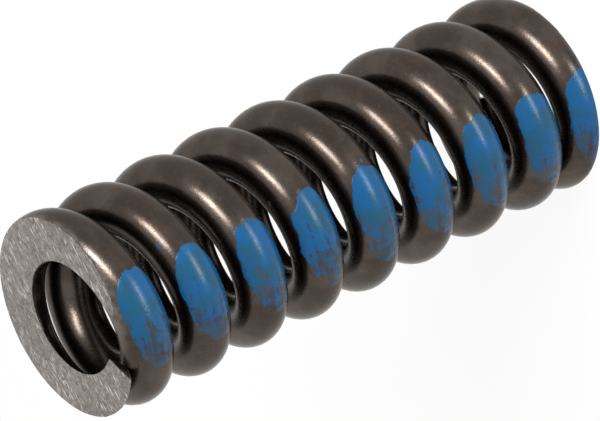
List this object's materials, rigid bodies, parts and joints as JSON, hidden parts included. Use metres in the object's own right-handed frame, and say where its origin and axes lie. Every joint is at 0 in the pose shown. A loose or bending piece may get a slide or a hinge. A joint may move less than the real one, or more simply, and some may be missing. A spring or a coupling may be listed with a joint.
{
  "type": "die spring",
  "caption": "Heavy round-wire compression spring with closed, flat-ground ends, a paint-marked flank and a clear passage for a guide rod.",
  "frame": {"origin": "centre of the ground bottom end, on the spring's axis", "axes": "+Z along the spring's axis from the bottom end to the top end; the upper tip of the wire points into the -X -Y quarter, and the blue paint marks face -Y"},
  "size_m": [0.0317, 0.0318, 0.0879],
  "materials": {
    "spring_wire": "peened and oil-tempered spring steel, dark brown-grey and satin, with blue paint along one flank and bright ground ends"
  },
  "bodies": {
    "root": {"die_spring": "spring_wire"}
  },
  "joints": []
}
